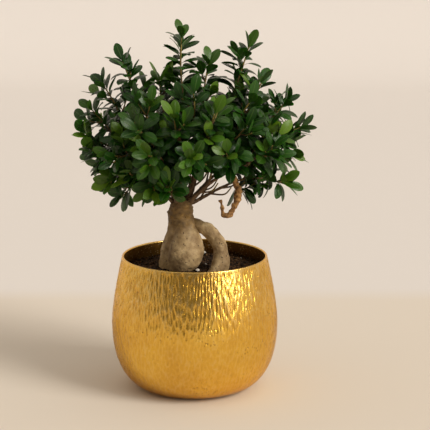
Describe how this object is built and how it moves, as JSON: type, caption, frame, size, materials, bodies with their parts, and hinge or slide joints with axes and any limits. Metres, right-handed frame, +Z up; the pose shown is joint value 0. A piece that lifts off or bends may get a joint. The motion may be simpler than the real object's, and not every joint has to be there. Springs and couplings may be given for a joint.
{
  "type": "potted ficus bonsai",
  "caption": "Grafted ficus bonsai with a swollen trunk, a looping root and a dense crown of small oval leaves, in a round hammered gold metal pot.",
  "frame": {"origin": "centre of the pot's flat underside, on the surface it stands on", "axes": "+Z up along the pot's turning axis, -Y the front of the plant, +X to the right seen from the front"},
  "size_m": [0.3429, 0.2657, 0.54],
  "materials": {
    "gold_metal": "satin",
    "potting_soil": "matte",
    "perlite_white": "matte",
    "trunk_bark": "matte",
    "dry_root": "matte",
    "twig_bark": "matte",
    "leaf_green": "satin"
  },
  "bodies": {
    "root": {"branch_back_left": "twig_bark", "branch_back_right": "twig_bark", "branch_centre": "twig_bark", "branch_left_front": "twig_bark", "branch_left_low": "twig_bark", "branch_left_up": "twig_bark", "branch_right_back": "twig_bark", "branch_right_front": "twig_bark", "branch_right_low": "twig_bark", "branch_right_up": "twig_bark", "perlite_back": "perlite_white", "perlite_front": "perlite_white", "pot": "gold_metal", "root_hanging": "dry_root", "root_loop": "trunk_bark", "shoot_back_lower_1": "leaf_green", "shoot_back_lower_2": "leaf_green", "shoot_back_lower_3": "leaf_green", "shoot_back_lower_4": "leaf_green", "shoot_back_upper_1": "leaf_green", "shoot_back_upper_2": "leaf_green", "shoot_back_upper_3": "leaf_green", "shoot_back_upper_4": "leaf_green", "shoot_back_upper_5": "leaf_green", "shoot_front_lower_1": "leaf_green", "shoot_front_lower_2": "leaf_green", "shoot_front_lower_3": "leaf_green", "shoot_front_lower_4": "leaf_green", "shoot_front_lower_5": "leaf_green", "shoot_front_top_1": "leaf_green", "shoot_front_top_2": "leaf_green", "shoot_front_top_3": "leaf_green", "shoot_front_under_1": "leaf_green", "shoot_front_under_2": "leaf_green", "shoot_front_under_3": "leaf_green", "shoot_front_upper_1": "leaf_green", "shoot_front_upper_2": "leaf_green", "shoot_front_upper_3": "leaf_green", "shoot_front_upper_4": "leaf_green", "shoot_front_upper_5": "leaf_green", "shoot_front_upper_6": "leaf_green", "shoot_middle_01": "leaf_green", "shoot_middle_02": "leaf_green", "shoot_middle_03": "leaf_green", "shoot_middle_04": "leaf_green", "shoot_middle_05": "leaf_green", "shoot_middle_06": "leaf_green", "shoot_middle_07": "leaf_green", "shoot_middle_08": "leaf_green", "shoot_middle_09": "leaf_green", "shoot_middle_10": "leaf_green", "shoot_middle_11": "leaf_green", "shoot_middle_12": "leaf_green", "shoot_middle_13": "leaf_green", "shoot_middle_14": "leaf_green", "shoot_middle_15": "leaf_green", "shoot_middle_16": "leaf_green", "shoot_middle_17": "leaf_green", "soil": "potting_soil", "trunk": "trunk_bark"}
  },
  "joints": []
}
